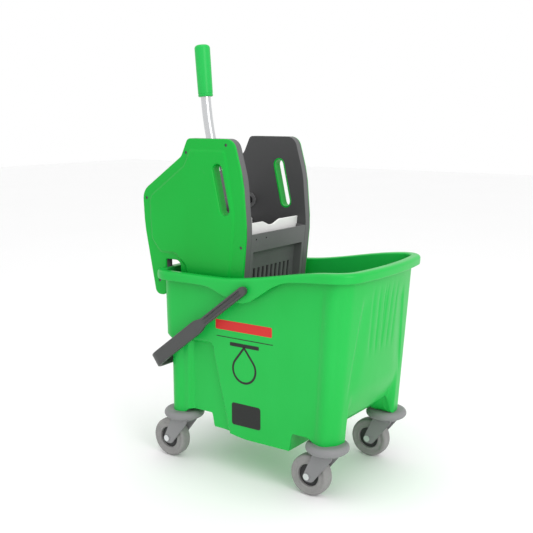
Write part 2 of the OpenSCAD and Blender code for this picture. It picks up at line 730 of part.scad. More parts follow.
bucket_shell();
bail_handle();
bail_pins();
front_panel();
sieve_plate();
back_panel();
drain_floor();
press_plate();
cross_shaft();
lever_hub();
lever_bolt();
lever_tube();
lever_grip();
for (s = side_names) {
    side_frame(side_sign(s));
    side_cover(side_sign(s));
    cover_screws(side_sign(s));
    shaft_bush(side_sign(s));
    gear_sector(side_sign(s));
    rack(side_sign(s));
}
for (e = end_names, s = side_names)
    translate([castor_x + (e == "front" ? leg_x : -leg_x), side_sign(s) * leg_y, 0]) {
        castor_bumper();
        castor_stem();
        castor_fork();
        castor_axle();
        castor_hub();
        castor_tyre();
    }
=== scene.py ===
import json
import math
import bmesh
import bpy
import numpy as np
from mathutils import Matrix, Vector
from mathutils.geometry import tessellate_polygon

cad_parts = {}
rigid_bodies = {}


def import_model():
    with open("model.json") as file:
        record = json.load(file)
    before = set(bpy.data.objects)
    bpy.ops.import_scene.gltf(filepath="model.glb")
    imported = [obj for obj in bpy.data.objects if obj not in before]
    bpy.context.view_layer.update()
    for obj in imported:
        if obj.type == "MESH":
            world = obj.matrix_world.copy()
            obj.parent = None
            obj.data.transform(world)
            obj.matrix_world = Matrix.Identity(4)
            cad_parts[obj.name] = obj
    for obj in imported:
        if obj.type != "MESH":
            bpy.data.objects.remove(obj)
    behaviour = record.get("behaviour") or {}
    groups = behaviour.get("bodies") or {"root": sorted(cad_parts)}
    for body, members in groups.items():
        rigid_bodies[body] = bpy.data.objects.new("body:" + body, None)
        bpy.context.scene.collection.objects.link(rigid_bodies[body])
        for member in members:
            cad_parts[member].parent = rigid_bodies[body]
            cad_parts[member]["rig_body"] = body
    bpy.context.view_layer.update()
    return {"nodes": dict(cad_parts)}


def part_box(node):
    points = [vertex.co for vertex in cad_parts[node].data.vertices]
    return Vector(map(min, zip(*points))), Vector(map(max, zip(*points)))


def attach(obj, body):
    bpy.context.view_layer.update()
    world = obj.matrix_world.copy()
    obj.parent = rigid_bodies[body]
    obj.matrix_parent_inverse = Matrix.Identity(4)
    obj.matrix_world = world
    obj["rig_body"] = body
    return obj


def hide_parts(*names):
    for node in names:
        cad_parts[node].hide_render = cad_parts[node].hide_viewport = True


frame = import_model()
mm = 0.001  # lengths below are in millimetres, and are scaled where a mesh is made
sides = {"left": 1, "right": -1}
ends = ("front", "rear")


def boxOf(node):  # lowest and highest corner of a CAD node, in millimetres
    low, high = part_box(node)
    return np.array(low) / mm, np.array(high) / mm


class Wire:  # a value socket: each operator on it adds one Math node
    def __init__(self, shader, socket):
        self.shader = shader
        self.socket = socket

    def maths(self, operation, *values):
        return self.shader.add("ShaderNodeMath", {"operation": operation}, dict(enumerate(values)), 0)

    def __add__(self, other):
        return self.maths("ADD", self, other)

    def __mul__(self, other):
        return self.maths("MULTIPLY", self, other)

    __radd__ = __add__
    __rmul__ = __mul__


class Shader:  # one material: its node tree, its surface shader and ways to add to it
    def __init__(self, name, **constants):
        self.material = bpy.data.materials.new(name)
        self.material.use_nodes = True
        self.tree = self.material.node_tree
        self.surface = self.tree.nodes["Principled BSDF"]
        for socket, value in constants.items():
            self.surface.inputs[socket.replace("_", " ")].default_value = value
        self.place = self.add("ShaderNodeTexCoord", {}, {}, "Object")

    def add(self, kind, settings, inputs, output=0):
        node = self.tree.nodes.new(kind)
        for key, value in settings.items():
            setattr(node, key, value)
        for key, value in inputs.items():
            self.feed(node.inputs[key], value)
        return Wire(self, node.outputs[output])

    def feed(self, socket, value):
        if isinstance(value, Wire):
            self.tree.links.new(value.socket, socket)
        else:
            socket.default_value = value

    def noise(self, scale, detail=3.0, roughness=0.5, stretch=None):  # 0 to 1, on Object coordinates
        place = self.place
        if stretch:
            place = self.add("ShaderNodeMapping", {}, {"Vector": place, "Scale": stretch})
        return self.add("ShaderNodeTexNoise", {}, {"Vector": place, "Scale": scale,
                                                   "Detail": detail, "Roughness": roughness}, 0)

    def between(self, value, low, high):  # the part of a value between low and high, as 0 to 1
        return self.add("ShaderNodeMapRange", {"interpolation_type": "SMOOTHSTEP"},
                        {"Value": value, "From Min": low, "From Max": high})

    def mix(self, mask, first, second):  # a colour between two, by a mask of 0 to 1
        return self.add("ShaderNodeMix", {"data_type": "RGBA"}, {0: mask, 6: first, 7: second}, 2)

    def bump(self, height, distance, strength=1.0, under=None):
        inputs = {"Height": height, "Distance": distance, "Strength": strength}
        if under:
            inputs["Normal"] = under
        return self.add("ShaderNodeBump", {}, inputs)

    def finish(self, **links):
        for socket, value in links.items():
            self.feed(self.surface.inputs[socket.replace("_", " ")], value)
        return self.material


def linear(red, green, blue):  # a screen colour of 0 to 255 as the shader's own light values
    shades = [((c / 255 + 0.055) / 1.055) ** 2.4 if c > 10 else c / 3294.6 for c in (red, green, blue)]
    return (*shades, 1)


def scaled(colour, factor, lift=0.0):  # a darker or paler version of a colour
    return tuple(min(1, c * factor + lift) for c in colour[:3]) + (1,)


def mouldedPlastic(name, colour, deep, rough, grain=0.00004, speckle=0.0, paintedShade=None):
    # Injection moulding: slow drift of tone, faint flow marks, a fine grain, scuffs and maybe a painted
    # shade along one axis
    s = Shader(name, Specular_IOR_Level=0.25)
    drift = s.between(s.noise(5.0, 2.0), 0.3, 0.7)
    flow = s.between(s.noise(16.0, 4.0, 0.6, (1, 1, 0.25)), 0.35, 0.75)
    scuff = s.between(s.noise(46.0, 8.0, 0.72), 0.6, 0.74)
    fine = s.noise(2600.0, 2.0)
    tone = s.mix(drift * 0.55 + flow * 0.3, colour, deep)
    if speckle:
        grit = s.between(s.noise(1500.0, 1.0), 0.62, 0.72)
        tone = s.mix(grit * speckle, tone, scaled(colour, 1.9))
    tone = s.mix(scuff * 0.06, tone, scaled(colour, 0.6, 0.2))
    if paintedShade:  # painted shade: a darker colour that takes over from one distance along an axis to another, in metres
        axis, unshaded, fullyShaded, shade = paintedShade
        distance = s.add("ShaderNodeSeparateXYZ", {}, {"Vector": s.place}, axis)
        tone = s.mix(s.between(distance.maths("ABSOLUTE", distance), unshaded, fullyShaded), tone, shade)
    wave = s.bump(s.noise(24.0, 2.0), 0.0006, 0.25, s.bump(fine, grain))
    dull = rough + flow * 0.05 + scuff * 0.12 + fine * 0.03
    return s.finish(Base_Color=tone, Roughness=dull, Normal=wave)


def plainMetal(name, colour, rough, streak):
    # Bright metal: fine streaks along the part, dull patches where it is handled
    s = Shader(name, Metallic=1.0)
    lines = s.noise(900.0, 3.0, 0.6, streak)
    dull = s.between(s.noise(38.0, 6.0, 0.65), 0.5, 0.8)
    tone = s.mix(dull * 0.35 + lines * 0.2, colour, scaled(colour, 0.72))
    return s.finish(Base_Color=tone, Roughness=rough + lines * 0.08 + dull * 0.14,
                    Normal=s.bump(lines, 0.00002))


def rubber(name, colour):
    # Non-marking tread: chalky mottling, dust in the low spots and a pebbled skin
    s = Shader(name, Specular_IOR_Level=0.35)
    mottle = s.between(s.noise(70.0, 6.0, 0.65), 0.35, 0.7)
    dust = s.between(s.noise(24.0, 4.0, 0.6), 0.5, 0.75)
    tone = s.mix(mottle * 0.5, colour, scaled(colour, 0.78))
    tone = s.mix(dust * 0.2, tone, linear(176, 172, 166))
    return s.finish(Base_Color=tone, Roughness=0.62 + mottle * 0.12,
                    Normal=s.bump(s.noise(1800.0, 2.0), 0.00005))


def printedInk(name, colour):
    # Screen-printed ink: a slightly uneven film with pinholes at its grain
    s = Shader(name, Specular_IOR_Level=0.4)
    film = s.noise(220.0, 5.0, 0.6)
    tone = s.mix(s.between(film, 0.35, 0.8) * 0.35, colour, scaled(colour, 0.8, 0.012))
    return s.finish(Base_Color=tone, Roughness=0.42 + film * 0.12, Normal=s.bump(film, 0.00003))


greenPlastic = mouldedPlastic("greenPlastic", linear(28, 183, 74), linear(20, 175, 65), 0.3)
coverPlastic = mouldedPlastic("coverPlastic", linear(3, 172, 56), linear(2, 164, 49), 0.32)
gripPlastic = mouldedPlastic("gripPlastic", linear(34, 186, 82), linear(26, 177, 72), 0.34)
grain, speckle = 0.00006, 0.1  # of the grey mouldings, which have a coarser grain and pale specks
greyPlastic = mouldedPlastic("greyPlastic", linear(104, 104, 105), linear(95, 95, 96), 0.44, grain, speckle)
# side frames: a slightly darker copy of the grey as painted shade, with more painted shade on their inner
# faces, within about 90 mm of the middle
framePlastic = mouldedPlastic("framePlastic", linear(100, 100, 101), linear(90, 90, 91), 0.44, grain,
                              speckle, (1, 0.0905, 0.0893, linear(74, 74, 75)))
bailPlastic = mouldedPlastic("bailPlastic", linear(76, 77, 77), linear(68, 69, 69), 0.38, grain, speckle)
# castor hubs: a dark grey that is painted shade for the shadowed hub recess
hubPaintedShade = mouldedPlastic("hubPaintedShade", linear(62, 62, 63), linear(52, 52, 53), 0.5, grain, speckle)
castorPlastic = mouldedPlastic("castorPlastic", linear(138, 138, 139), linear(126, 126, 128), 0.46, grain,
                               0.12)
palePlastic = mouldedPlastic("palePlastic", linear(246, 246, 244), linear(236, 236, 234), 0.42)
# sieve plate: painted shade, going near-black from 425 mm down to 405 mm height, where it lies in shadow
# behind the grille slots
sievePlastic = mouldedPlastic("sievePlastic", linear(246, 246, 244), linear(236, 236, 234), 0.42,
                              paintedShade=(2, 0.425, 0.405, linear(30, 30, 31)))
tyreRubber = rubber("tyreRubber", linear(142, 141, 140))
zincSteel = plainMetal("zincSteel", (0.72, 0.73, 0.75, 1), 0.24, (1, 0.1, 1))
blackSteel = plainMetal("blackSteel", (0.10, 0.10, 0.105, 1), 0.4, (1, 0.1, 1))
chromeSteel = plainMetal("chromeSteel", (0.62, 0.63, 0.64, 1), 0.22, (1, 1, 0.04))
redInk = printedInk("redInk", linear(206, 34, 30))
blackInk = printedInk("blackInk", linear(20, 22, 21))
print("materials ready")


def smooth(value, low, high):  # 0 below low, 1 above high, eased in between
    u = np.clip((np.asarray(value, float) - low) / (high - low), 0, 1)
    return u * u * (3 - 2 * u)


def addPiece(name, points, faces, material, body, slot, replaced=(), sharp=34, flat=False):
    # Merges doubles, points the faces outwards, shades smooth except over sharp angles, rides on the body
    mesh = bpy.data.meshes.new(name)
    mesh.from_pydata((np.asarray(points, float) * mm).tolist(), [], faces)
    work = bmesh.new()
    work.from_mesh(mesh)
    bmesh.ops.remove_doubles(work, verts=work.verts, dist=2e-6)
    bmesh.ops.dissolve_degenerate(work, edges=work.edges, dist=1e-6)
    bmesh.ops.recalc_face_normals(work, faces=work.faces)
    work.to_mesh(mesh)
    work.free()
    piece = bpy.data.objects.new(name, mesh)
    bpy.context.scene.collection.objects.link(piece)
    mesh.shade_smooth()
    mesh.set_sharp_from_angle(angle=math.radians(sharp))
    if flat:
        weigh = piece.modifiers.new("weighNormals", "WEIGHTED_NORMAL")
        weigh.keep_sharp = True
    mesh.materials.append(material)
    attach(piece, body)
    if replaced:
        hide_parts(*replaced)


def ringFaces(count, size):  # quads between closed rings, each of the same number of points
    index = np.arange(count * size).reshape(count, size)
    across = np.roll(index, -1, axis=1)
    return np.stack([index[:-1], across[:-1], across[1:], index[1:]], axis=-1).reshape(-1, 4).tolist()


def joinRings(rings, loop=False):
    # rings is count x size x 3. The first and last are closed to their middles, or joined to each other
    count, size = rings.shape[:2]
    points = rings.reshape(-1, 3)
    if loop:
        rings = np.concatenate([rings, rings[:1]])
        return rings.reshape(-1, 3), ringFaces(count + 1, size)
    faces = ringFaces(count, size)
    for ring in (0, count - 1):
        start = ring * size
        points = np.vstack([points, rings[ring].mean(axis=0)])
        faces += [[start + k, start + (k + 1) % size, len(points) - 1] for k in range(size)]
    return points, faces


def together(*parts):  # several (points, faces) as one
    points, faces, first = [], [], 0
    for somePoints, someFaces in parts:
        points.append(somePoints)
        faces += [[k + first for k in face] for face in someFaces]
        first += len(somePoints)
    return np.vstack(points), faces


def revolve(profile, centre, segments):
    # A closed profile of (along Y, radius) carried once round an axis along Y
    profile = np.asarray(profile, float)
    turn = np.linspace(0, 2 * np.pi, segments, endpoint=False)
    spoke = np.column_stack([-np.sin(turn), 0 * turn, -np.cos(turn)])
    along = np.array([0.0, 1.0, 0.0])
    rings = centre + profile[None, :, :1] * along + profile[None, :, 1:] * spoke[:, None, :]
    return joinRings(rings, loop=True)


def roundCorners(corners, step=9):
    # A closed outline from (x, y, radius): each corner is an arc that touches both its sides
    corners = np.asarray(corners, float)
    neighbours = zip(np.roll(corners, 1, axis=0), corners, np.roll(corners, -1, axis=0))
    outline = []
    for before, here, after in neighbours:
        toBefore = (before - here)[:2] / np.linalg.norm((before - here)[:2])
        toAfter = (after - here)[:2] / np.linalg.norm((after - here)[:2])
        half = math.acos(np.clip(toBefore @ toAfter, -1, 1)) / 2
        radius = max(here[2], 0.01)
        bisector = (toBefore + toAfter) / np.linalg.norm(toBefore + toAfter)
        middle = here[:2] + bisector * radius / math.sin(half)
        start = here[:2] + toBefore * radius / math.tan(half) - middle
        finish = here[:2] + toAfter * radius / math.tan(half) - middle
        sweep = math.atan2(start[0] * finish[1] - start[1] * finish[0], start @ finish)
        turns = np.linspace(0, sweep, max(2, int(abs(math.degrees(sweep)) / step) + 1))
        outline.append(np.stack([middle[0] + start[0] * np.cos(turns) - start[1] * np.sin(turns),
                                 middle[1] + start[0] * np.sin(turns) + start[1] * np.cos(turns)], axis=-1))
    return np.vstack(outline)


def shrink(outline, distance):
    # Each point moves inwards by distance, square to the outline there
    before, after = np.roll(outline, 1, axis=0), np.roll(outline, -1, axis=0)
    along = (after - outline) / np.maximum(np.linalg.norm(after - outline, axis=1), 1e-9)[:, None]
    behind = (outline - before) / np.maximum(np.linalg.norm(outline - before, axis=1), 1e-9)[:, None]
    mean = along + behind
    mean /= np.linalg.norm(mean, axis=1)[:, None]
    normal = np.stack([-mean[:, 1], mean[:, 0]], axis=-1)
    area = np.sum(outline[:, 0] * after[:, 1] - after[:, 0] * outline[:, 1])
    return outline + normal * (distance * math.copysign(1, area))


def quarter(radius, steps=5):  # (inset, drop) along a quarter round, from an edge's side to its top
    turn = np.linspace(0, np.pi / 2, steps + 1)
    return np.stack([radius * (1 - np.cos(turn)), radius * (1 - np.sin(turn))], axis=-1)


def level(loop, height):  # an outline as points at one height
    return np.column_stack([loop, np.full(len(loop), height)])


def fill(loops):  # triangles between an outline and its holes, as points and faces
    triangles = tessellate_polygon([[Vector(p) for p in loop] for loop in loops])
    return np.vstack(loops), [list(t) for t in triangles]


def skin(rings):  # quads between rings of the same number of points, with both ends open
    return np.vstack(rings), ringFaces(len(rings), len(rings[0]))


def plate(outline, holes, low, high, edge, place, holeEdge=None):
    # A flat plate with rounded upper edges. place turns (outline, height) into x, y, z
    def wall(loop, inwards, size):
        steps = [(0.0, low)] + [(inset * inwards, high - drop) for inset, drop in quarter(size)]
        return [level(shrink(loop, inset), height) for inset, height in steps]
    walls = [wall(outline, 1, edge)] + [wall(hole, -1, holeEdge or edge) for hole in holes]
    parts = [skin(rings) for rings in walls]
    parts += [fill([rings[end] for rings in walls]) for end in (0, -1)]
    points, faces = together(*parts)
    return place(points), faces


def upright(sign):  # an outline in x and z, with heights along the outward Y of one side
    return lambda p: np.column_stack([p[:, 0], p[:, 2] * sign, p[:, 1]])


def softened(node, material, width):
    # A copy of a CAD node with its triangles merged into whole faces and its sharp edges rounded
    angle = math.radians(32)
    source = frame["nodes"][node]
    mesh = source.data.copy()
    mesh.materials.clear()
    work = bmesh.new()
    work.from_mesh(mesh)
    bmesh.ops.remove_doubles(work, verts=work.verts, dist=2e-6)
    bmesh.ops.dissolve_limit(work, angle_limit=math.radians(1.0), verts=work.verts, edges=work.edges)
    work.to_mesh(mesh)
    work.free()
    if "custom_normal" in mesh.attributes:
        mesh.attributes.remove(mesh.attributes["custom_normal"])
    piece = bpy.data.objects.new(node + "_moulding", mesh)
    bpy.context.scene.collection.objects.link(piece)
    mesh.shade_smooth()
    mesh.set_sharp_from_angle(angle=angle)
    rounding = piece.modifiers.new("rounding", "BEVEL")
    rounding.width = width * mm
    rounding.segments = 2
    rounding.limit_method = "ANGLE"
    rounding.angle_limit = angle
    rounding.harden_normals = True
    mesh.materials.append(material)
    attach(piece, source["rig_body"])
    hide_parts(node)


shellLow, shellHigh = boxOf("bucket_shell")
bumperLow, bumperHigh = boxOf("castor_bumper_front_left")
rearLow, rearHigh = boxOf("castor_bumper_rear_left")
bucket = dict(
    wall=3.5, overhang=15.0, flange=4.0, rimRound=6.5,
    low=372.0, rise=(-50.0, 215.0),  # the rim's height at the wringer, and where it rises to the front
    ledge=247.0, belly=110.0, sumpBack=-66.0, sumpFront=110.0, legRadius=24.0, pocketDepth=8.0,
    frontTuck=12.0, frontLift=30.0, creaseDepth=2.4,
    flutes=(2.0, 22.0, 42.0), fluteDepth=1.6, fluteWidth=3.2,  # distances of the flutes off the middle
)
legBottom = bumperHigh[2]
legY = (bumperLow[1] + bumperHigh[1]) / 2
frontLegX = (bumperLow[0] + bumperHigh[0]) / 2
rearLegX = (rearLow[0] + rearHigh[0]) / 2
rimBack, rimFront, rimHalf, rimHigh = shellLow[0], shellHigh[0], shellHigh[1], shellHigh[2]
overhang = bucket["overhang"]
wallBack, wallFront, wallHalf = rimBack + overhang, rimFront - overhang, rimHalf - overhang
lowerBack, lowerFront = rearLegX - bucket["legRadius"], frontLegX + bucket["legRadius"]


def rimTop(x):  # the rim is level behind, then eases up to the pouring end
    return bucket["low"] + (rimHigh - bucket["low"]) * smooth(x, *bucket["rise"])


def skirtLow(x):  # lower edge of the skirt: level, a rounded apron round the bail pin, then up with the rim
    stations = [(-210, 355.5), (-80, 355.5), (-66, 355), (-52, 351.5), (-30, 343), (-8, 335), (4, 332.5),
                (18, 333), (32, 338), (50, 350), (78, 369), (96, 377.5), (110, 380.5), (130, 382.5),
                (160, 385), (190, 387), (250, 389)]
    places, heights = zip(*stations)
    fine = np.linspace(-210, 250, 461)
    kernel = np.hanning(17) / np.hanning(17).sum()
    eased = np.convolve(np.pad(np.interp(fine, places, heights), 8, mode="edge"), kernel, mode="valid")
    return np.interp(x, fine, eased)


def planLoop(z, inset, columns):
    # Half the plan at height z: a straight back, a rounded corner, a straight side and a bowed front.
    # z is rows x columns, and each stretch has its own columns, so features stay on theirs.
    lift = np.clip((z - legBottom) / (rimHigh - legBottom), 0, 1.02)
    upper = smooth(z, bucket["ledge"] - 7, bucket["ledge"] - 1)
    back = lowerBack + (wallBack + 6 * (1 - lift) - lowerBack) * upper + inset
    front = lowerFront + 2 + (wallFront - lowerFront - 2) * lift - inset
    half = wallHalf - 1 + lift - inset
    backRadius = 25 + 4 * upper - inset
    frontRadius = bucket["legRadius"] + 8 * lift - inset
    bow = 3 + 5 * lift
    big = ((half - frontRadius) ** 2 + bow ** 2) / (2 * bow)
    bigX = front - big
    cornerX = bigX + np.sqrt((big - frontRadius) ** 2 - (half - frontRadius) ** 2)
    tilt = np.arctan2(half - frontRadius, cornerX - bigX)
    xs, ys = [], []
    s = columns["back"]
    xs.append(np.broadcast_to(back[:, :len(s)], (len(z), len(s))))
    ys.append(s * (half - backRadius)[:, :len(s)])
    first = len(s)
    a, k = columns["backCorner"] * np.pi / 2, slice(first, first + len(columns["backCorner"]))
    xs.append(back[:, k] + backRadius[:, k] * (1 - np.cos(a)))
    ys.append(half[:, k] - backRadius[:, k] * (1 - np.sin(a)))
    first = k.stop
    s, k = columns["side"], slice(first, first + len(columns["side"]))
    sideStart = back[:, k] + backRadius[:, k]
    xs.append(sideStart + (cornerX[:, k] - sideStart) * s)
    ys.append(half[:, k] + 0 * s)
    first = k.stop
    a, k = columns["frontCorner"], slice(first, first + len(columns["frontCorner"]))
    turn = np.pi / 2 + (tilt[:, k] - np.pi / 2) * a
    xs.append(cornerX[:, k] + frontRadius[:, k] * np.cos(turn))
    ys.append(half[:, k] - frontRadius[:, k] + frontRadius[:, k] * np.sin(turn))
    first = k.stop
    a, k = columns["front"], slice(first, first + len(columns["front"]))
    turn = tilt[:, k] * (1 - a)
    xs.append(bigX[:, k] + big[:, k] * np.cos(turn))
    ys.append(big[:, k] * np.sin(turn))
    return np.hstack(xs), np.hstack(ys)


def spread(count, places, width=5.0, extra=3.0, low=0.0, high=1.0):
    # count values from 0 to 1, closer together near the given places
    fine = np.linspace(low, high, 4001)
    density = 1 + sum(extra * np.exp(-((fine - p) / width) ** 2) for p in places)
    total = np.cumsum(density)
    total = (total - total[0]) / (total[-1] - total[0])
    return (np.interp(np.linspace(0, 1, count), total, fine) - low) / (high - low)


halfColumns = {
    "back": spread(22, [52, 98], 8.0, 1.5, 0, 104)[:-1],
    "backCorner": np.linspace(0, 1, 12)[:-1],
    "side": spread(128, [-116, -60, -45, bucket["sumpBack"], bucket["sumpFront"]], 9.0, 2.0,
                   -148, 186)[:-1],
    "frontCorner": np.linspace(0, 1, 16)[:-1],
    "front": spread(44, [0.16, 0.9, 1.0], 0.08, 1.0),
}


def bucketSkin(z, inset):
    # Outer or inner skin: the plan, with columns over the legs, a pocket in each side, a tuck in front
    x, y = planLoop(z, inset, halfColumns)
    flatSide = wallHalf - 1
    for legX, top in ((rearLegX, smooth(-z, -bucket["ledge"] + 2, -bucket["ledge"] + 16)),
                      (frontLegX + (z - legBottom) * 0.055, smooth(-z, -rimHigh + 12, -rimHigh + 60))):
        reach = bucket["legRadius"] ** 2 - np.minimum(np.abs(x - legX), bucket["legRadius"]) ** 2
        bulge = np.maximum(np.sqrt(reach) - (flatSide - legY), 0) * top
        y = y + bulge * smooth(y, flatSide - 14 - inset, flatSide - 4 - inset) * 0.9
    slant = -38 - (z - 141) * 0.235  # the pocket's front edge leans back as it rises
    underLedge = smooth(-z, -bucket["ledge"] - 1, -bucket["ledge"] + 3)
    pocket = smooth(x, -121, -112) * smooth(-x, -slant, -slant + 5) * underLedge
    y = y - bucket["pocketDepth"] * pocket * smooth(y, 80, 100)
    between = smooth(-np.abs(y), -92, -78) * smooth(x, 120, 150)
    under = np.clip(195 - z, 0, 90) / 55
    x = x - bucket["frontTuck"] * np.minimum(under, 1.6) ** 1.7 * between
    # fine upright flutes on the front wall, and the sweep from them down to the belly
    front = smooth(x, 176, 200) * smooth(z, 238, 275) * smooth(-z, -375, -340)
    depth, width = bucket["fluteDepth"], bucket["fluteWidth"]
    for fluteY in bucket["flutes"]:
        middle = fluteY + (z - 300) * 0.03
        x = x - depth * np.exp(-((y - middle) / width) ** 2) * front
        x = x - depth * np.exp(-((-y - middle) / width) ** 2) * front * (fluteY > 10)
    crease = smooth(x, 150, 185) * smooth(z, 165, 235) * smooth(-z, -362, -330)
    creaseY = 78 + (347 - z) * 0.14
    crease = crease * smooth(-y, -creaseY, -creaseY + 6) * smooth(y, creaseY - 40, creaseY - 6)
    x = x - bucket["creaseDepth"] * crease
    return x, y


def lowEdge(x, y):  # height of the bottom edge round the plan: legs, belly, sump and the lifted front
    back, ahead = bucket["sumpBack"], bucket["sumpFront"]
    sump = smooth(x, back - 6, back + 2) * smooth(-x, -ahead - 2, -ahead + 4)
    sumpLow = 84 - 7 * smooth(x, -50, 20)  # the sump falls a little towards the front
    height = bucket["belly"] - (bucket["belly"] - sumpLow) * sump
    front = smooth(x, 150, 192) * smooth(-np.abs(y), -88, -78)
    height = height + bucket["frontLift"] * front
    inwards = smooth(np.abs(y), 74, 92)
    rear = smooth(-x, -rearLegX - 27, -rearLegX - 17)
    leg = inwards * np.maximum(rear, smooth(x, frontLegX - 30, frontLegX - 14))
    return height + (legBottom - height) * leg


def bothSides(x, y, z):  # a half loop and its mirror image as one closed ring per row
    left = np.stack([x, y, z], axis=-1)
    right = left[:, 1:-1][:, ::-1] * (1, -1, 1)
    return np.concatenate([left, right], axis=1)


columnCount = sum(len(c) for c in halfColumns.values())
guideX, guideY = planLoop(np.full((1, columnCount), 300.0), 0.0, halfColumns)
lowX, lowY = planLoop(np.full((1, columnCount), 110.0), 0.0, halfColumns)


def skinRows(inset, rows, top):
    # Heights from the bottom edge to the top: level in the middle, so that the ledge and pocket stay level
    bottom = lowEdge(lowX, lowY) + inset
    levelLow, levelHigh = 150, 340  # heights between which each row is level
    first, last = 0.24, 0.82  # how far along the rows these two stand
    v = spread(rows, [0.0, 0.13, 0.585], 0.05, 2.0)[:, None]
    lowBand = bottom + (levelLow - bottom) * np.clip(v / first, 0, 1)
    middle = (levelHigh - levelLow) * np.clip((v - first) / (last - first), 0, 1)
    upper = (top - levelHigh) * np.clip((v - last) / (1 - last), 0, 1)
    return lowBand + middle + upper


def floorRows(edgeRing, inset, rows, rounding):
    # From the bottom edge in to a spine along the middle, over the sump, the belly and the lifted front
    x, y, z = edgeRing[:, 0], edgeRing[:, 1], edgeRing[:, 2]
    spineX = np.clip(x, lowerBack + 50, lowerFront - 60)
    w = spread(rows, [0.0], 0.08, 6.0)[1:, None]
    px, py = x + (spineX - x) * w, y * (1 - w)
    pz = lowEdge(px, py) + inset
    ease = smooth(w * np.hypot(x - spineX, y), 0, rounding)
    lift = z * (1 - ease) + pz * ease
    return np.stack([px, py, np.maximum(lift, shellLow[2] + inset)], axis=-1)


def buildBucket():
    wall, flange, reach = bucket["wall"], bucket["flange"], bucket["overhang"]
    top = rimTop(guideX)
    outerZ = skinRows(0.0, 84, top - flange)
    x, y = bucketSkin(outerZ, 0.0)
    outer = bothSides(x, y, outerZ)
    innerZ = skinRows(wall, 46, top - 3.0)
    x, y = bucketSkin(innerZ, wall)
    inner = bothSides(x, y, innerZ)
    # the rolled rim: out under the flange, down and round the skirt, up, over and in
    atBack = smooth(-guideX, -wallBack - 8, -wallBack - 2)
    notch = atBack * smooth(guideY, 86.5, 87.5) * smooth(-guideY, -110, -109)
    rimReach = 1 - notch
    low = skirtLow(guideX) * rimReach + (top - flange) * notch
    arc, bead = quarter(bucket["rimRound"], 7), quarter(3.0, 4)
    steps = [(3.0, top - flange), (reach - wall, top - flange), (reach - wall + 0.2, low + 1.0),
             (reach - wall + 0.9, low + 0.1), (reach - 1.2, low), (reach - 0.4, low + 0.5),
             (reach, low + 1.6)]
    steps += [(reach, low + (top - bucket["rimRound"] - low) * f) for f in (0.35, 0.7)]
    steps += [(reach - inset, top - np.minimum(drop, (top - low) * 0.8)) for inset, drop in arc]
    steps += [((reach - bucket["rimRound"]) * f, top - 0.25 * (1 - f)) for f in (0.6, 0.2)]
    steps += [(-wall + inset, top - 0.25 - drop) for inset, drop in bead[::-1]]
    rim = []
    for out, height in steps:
        x, y = planLoop(height + 0 * guideX, 0.0, halfColumns)
        outX, outY = planLoop(height + 0 * guideX, -1.0, halfColumns)
        out = out * rimReach if out > 0 else out
        rim.append(bothSides(x + (outX - x) * out, y + (outY - y) * out, height + 0 * guideX)[0])
    outerFloor = floorRows(outer[0], 0.0, 40, 3.0)
    innerFloor = floorRows(inner[0], wall, 30, 3.0)
    rings = np.concatenate([outerFloor[::-1], outer, np.array(rim), inner[::-1], innerFloor])
    return rings.reshape(-1, 3), ringFaces(len(rings), rings.shape[1])


addPiece("bucket_tub", *buildBucket(), greenPlastic, "bucket", "green_moulding", ["bucket_shell"], sharp=50)
print("bucket made")

pad = dict(thick=4.8, halfWidth=14.0, height=22.0, edge=1.2, sunk=3.0)


def restPads():  # two small pads on the back wall, which the bail lies against
    low, wide = bailRest - pad["height"], pad["halfWidth"]
    parts = []
    for middle in (-legY / 2, legY / 2):
        outline = roundCorners([(middle - wide, low, 4), (middle + wide, low, 4),
                                (middle + wide, bailRest, 2), (middle - wide, bailRest, 2)])
        parts.append(plate(outline, [], -pad["sunk"], pad["thick"], pad["edge"], onBack))
    return together(*parts)


def onBack(p):  # lays a flat outline on the back wall
    return np.column_stack([lowerBack - p[:, 2], p[:, 0], p[:, 1]])


marks = dict(  # each bar is from x to x, from z to z and its corners' radius
    red=(-54, 70, 276, 294, 2.5), line=(-52, 72, 262.4, 264.0, 0.4), stroke=(-22, 42, 248.5, 255.5, 1.5),
    badge=(-19, 45, 101, 143, 5), drop=(9.5, 208, 27.0), ring=4.2,
)


def sideWall(z):  # how far out the plain side wall stands at height z
    return wallHalf - 1 + np.clip((z - legBottom) / (rimHigh - legBottom), 0, 1)


def onSide(p):  # lays a flat outline on the right-hand wall
    return np.column_stack([p[:, 0], -(sideWall(p[:, 1]) + p[:, 2]), p[:, 1]])


def printed(outline, holes=()):  # a film of ink that is sunk in the wall by more than it stands out
    return plate(outline, list(holes), -0.4, 0.12, 0.04, onSide)


def bar(x1, x2, z1, z2, radius):
    return roundCorners([(x1, z1, radius), (x2, z1, radius), (x2, z2, radius), (x1, z2, radius)])


def dropShape(x, z, radius):  # a plain water drop: a round whose sides run up to a point
    reach = 1.62
    side = math.asin(1 / reach)
    turn = np.linspace(np.pi - side, 2 * np.pi + side, 40)
    around = np.column_stack([x + radius * np.cos(turn), z + radius * np.sin(turn)])
    return np.vstack([around, [[x, z + reach * radius]]])


def addMarks():
    red = printed(bar(*marks["red"]))
    addPiece("print_red_bar", *red, redInk, "bucket", "green_moulding", flat=True)
    x, z, radius = marks["drop"]
    black = [printed(bar(*marks[mark])) for mark in ("line", "stroke", "badge")]
    black.append(printed(dropShape(x, z, radius), [dropShape(x, z, radius - marks["ring"])]))
    addPiece("print_black_marks", *together(*black), blackInk, "bucket", "green_moulding", flat=True)


